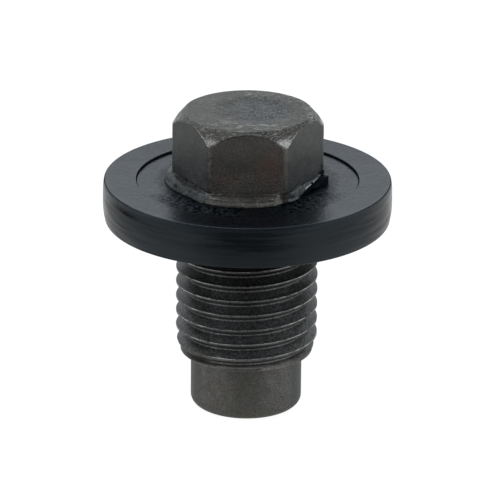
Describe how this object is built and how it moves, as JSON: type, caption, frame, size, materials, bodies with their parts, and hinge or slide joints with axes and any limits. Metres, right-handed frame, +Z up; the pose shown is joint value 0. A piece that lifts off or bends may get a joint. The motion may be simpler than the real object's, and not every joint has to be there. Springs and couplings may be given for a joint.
{
  "type": "oil drain plug",
  "caption": "Hexagon head drain plug with a right hand thread, a plain pilot point and a captive rubber seal washer under the head.",
  "frame": {"origin": "centre of the flat on the pilot's tip, where the plug stands", "axes": "+Z up along the plug's axis from the pilot to the head, -Y towards the hexagon flat that faces the viewer"},
  "size_m": [0.0278, 0.0278, 0.03],
  "materials": {
    "blackened_steel": "dark phosphated forged steel, matt, rubbed brighter on the head and on the thread crests",
    "black_rubber": "smooth moulded black rubber with a soft sheen, finely grained in the recess round the head"
  },
  "bodies": {
    "root": {"plug_body": "blackened_steel", "seal_washer": "black_rubber"}
  },
  "joints": []
}
